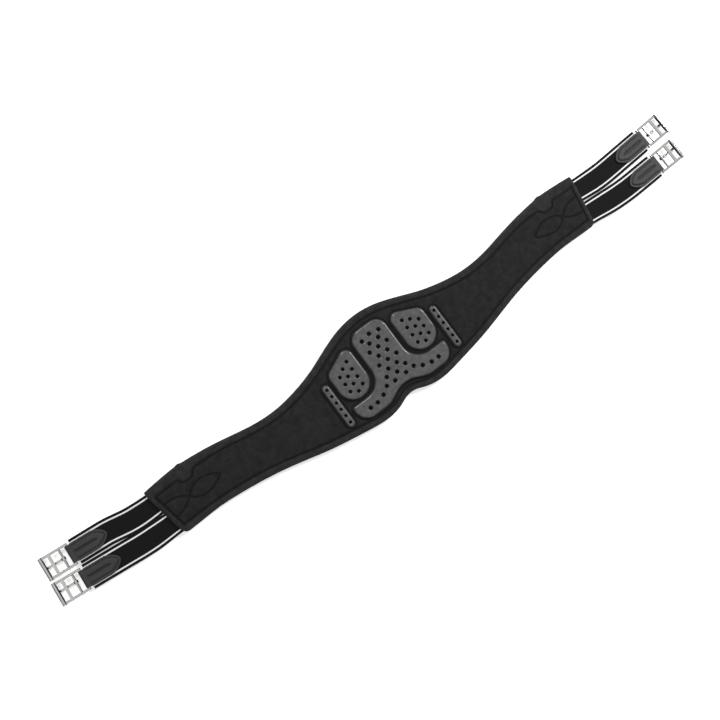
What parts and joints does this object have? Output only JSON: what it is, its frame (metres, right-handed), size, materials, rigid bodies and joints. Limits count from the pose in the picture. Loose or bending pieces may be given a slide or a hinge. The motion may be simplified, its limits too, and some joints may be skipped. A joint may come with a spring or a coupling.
{
  "type": "saddle girth",
  "caption": "Anatomic long saddle girth laid flat, horse side up: padded body with perforated gel pieces, elastic straps and roller buckles at both ends.",
  "frame": {"origin": "on the flat outer face, under the middle of the pad's length", "axes": "+X along the girth; +Y towards its front edge, the elbow side; +Z away from the flat outer face, towards the horse"},
  "size_m": [1.1623, 0.1545, 0.0159],
  "materials": {
    "shell_leather": "fine black grain, matt",
    "foam": "closed-cell foam",
    "liner_fabric": "black brushed fabric",
    "binding_fabric": "black ribbed binding tape",
    "webbing": "black webbing",
    "backing_rubber": "thin matt black rubber",
    "gel": "smooth grey gel, satin",
    "elastic": "black woven elastic with two white stripes",
    "chape_leather": "black leather, stitched",
    "steel": "polished stainless steel"
  },
  "bodies": {
    "root": {"outer_shell": "shell_leather", "foam_core": "foam", "inner_liner": "liner_fabric", "edge_binding": "binding_fabric", "front_load_web": "webbing", "rear_load_web": "webbing", "edge_tab_left": "webbing", "edge_tab_right": "webbing", "gel_backing": "backing_rubber", "gel_centre_pad": "gel", "gel_side_pad_left": "gel", "gel_side_pad_right": "gel", "gel_bar_left": "gel", "gel_bar_right": "gel", "elastic_front_left": "elastic", "elastic_rear_left": "elastic", "elastic_front_right": "elastic", "elastic_rear_right": "elastic"},
    "chape_end_front_left": {"chape_front_left": "chape_leather"},
    "buckle_front_left": {"buckle_frame_front_left": "steel"},
    "tongue_front_left": {"tongue_front_left": "steel"},
    "roller_front_left": {"roller_front_left": "steel"},
    "chape_end_rear_left": {"chape_rear_left": "chape_leather"},
    "buckle_rear_left": {"buckle_frame_rear_left": "steel"},
    "tongue_rear_left": {"tongue_rear_left": "steel"},
    "roller_rear_left": {"roller_rear_left": "steel"},
    "chape_end_front_right": {"chape_front_right": "chape_leather"},
    "buckle_front_right": {"buckle_frame_front_right": "steel"},
    "tongue_front_right": {"tongue_front_right": "steel"},
    "roller_front_right": {"roller_front_right": "steel"},
    "chape_end_rear_right": {"chape_rear_right": "chape_leather"},
    "buckle_rear_right": {"buckle_frame_rear_right": "steel"},
    "tongue_rear_right": {"tongue_rear_right": "steel"},
    "roller_rear_right": {"roller_rear_right": "steel"}
  },
  "joints": [
    {"name": "stretch_front_left", "type": "slide", "parent": "root", "child": "chape_end_front_left", "axis": [-0.9956, 0.0941, 0], "range_m": [0, 0.035], "stiffness_N_per_m": 2500, "deforming": ["elastic_front_left"]},
    {"name": "buckle_hinge_front_left", "type": "hinge", "parent": "chape_end_front_left", "child": "buckle_front_left", "pos_m": [-0.53162, 0.02445, 0.0055], "axis": [0.0941, 0.9956, 0], "range_deg": [-90, 90]},
    {"name": "tongue_hinge_front_left", "type": "hinge", "parent": "buckle_front_left", "child": "tongue_front_left", "pos_m": [-0.54346, 0.02557, 0.0055], "axis": [-0.0941, -0.9956, 0], "range_deg": [0, 130]},
    {"name": "roller_spin_front_left", "type": "hinge", "parent": "buckle_front_left", "child": "roller_front_left", "pos_m": [-0.57214, 0.02828, 0.0055], "axis": [-0.0941, -0.9956, 0], "continuous": true},
    {"name": "stretch_rear_left", "type": "slide", "parent": "root", "child": "chape_end_rear_left", "axis": [-0.994, 0.1097, 0], "range_m": [0, 0.035], "stiffness_N_per_m": 2500, "deforming": ["elastic_rear_left"]},
    {"name": "buckle_hinge_rear_left", "type": "hinge", "parent": "chape_end_rear_left", "child": "buckle_rear_left", "pos_m": [-0.53732, -0.01551, 0.0055], "axis": [0.1097, 0.994, 0], "range_deg": [-90, 90]},
    {"name": "tongue_hinge_rear_left", "type": "hinge", "parent": "buckle_rear_left", "child": "tongue_rear_left", "pos_m": [-0.54915, -0.0142, 0.0055], "axis": [-0.1097, -0.994, 0], "range_deg": [0, 130]},
    {"name": "roller_spin_rear_left", "type": "hinge", "parent": "buckle_rear_left", "child": "roller_rear_left", "pos_m": [-0.57778, -0.01104, 0.0055], "axis": [-0.1097, -0.994, 0], "continuous": true},
    {"name": "stretch_front_right", "type": "slide", "parent": "root", "child": "chape_end_front_right", "axis": [0.998, 0.0628, 0], "range_m": [0, 0.035], "stiffness_N_per_m": 2500, "deforming": ["elastic_front_right"]},
    {"name": "buckle_hinge_front_right", "type": "hinge", "parent": "chape_end_front_right", "child": "buckle_front_right", "pos_m": [0.53461, 0.01137, 0.0055], "axis": [0.0628, -0.998, 0], "range_deg": [-90, 90]},
    {"name": "tongue_hinge_front_right", "type": "hinge", "parent": "buckle_front_right", "child": "tongue_front_right", "pos_m": [0.54648, 0.01212, 0.0055], "axis": [-0.0628, 0.998, 0], "range_deg": [0, 130]},
    {"name": "roller_spin_front_right", "type": "hinge", "parent": "buckle_front_right", "child": "roller_front_right", "pos_m": [0.57523, 0.01392, 0.0055], "axis": [-0.0628, 0.998, 0], "continuous": true},
    {"name": "stretch_rear_right", "type": "slide", "parent": "root", "child": "chape_end_rear_right", "axis": [0.9992, 0.0401, 0], "range_m": [0, 0.035], "stiffness_N_per_m": 2500, "deforming": ["elastic_rear_right"]},
    {"name": "buckle_hinge_rear_right", "type": "hinge", "parent": "chape_end_rear_right", "child": "buckle_rear_right", "pos_m": [0.529, -0.03345, 0.0055], "axis": [0.0401, -0.9992, 0], "range_deg": [-90, 90]},
    {"name": "tongue_hinge_rear_right", "type": "hinge", "parent": "buckle_rear_right", "child": "tongue_rear_right", "pos_m": [0.54089, -0.03297, 0.0055], "axis": [-0.0401, 0.9992, 0], "range_deg": [0, 130]},
    {"name": "roller_spin_rear_right", "type": "hinge", "parent": "buckle_rear_right", "child": "roller_rear_right", "pos_m": [0.56967, -0.03182, 0.0055], "axis": [-0.0401, 0.9992, 0], "continuous": true}
  ]
}
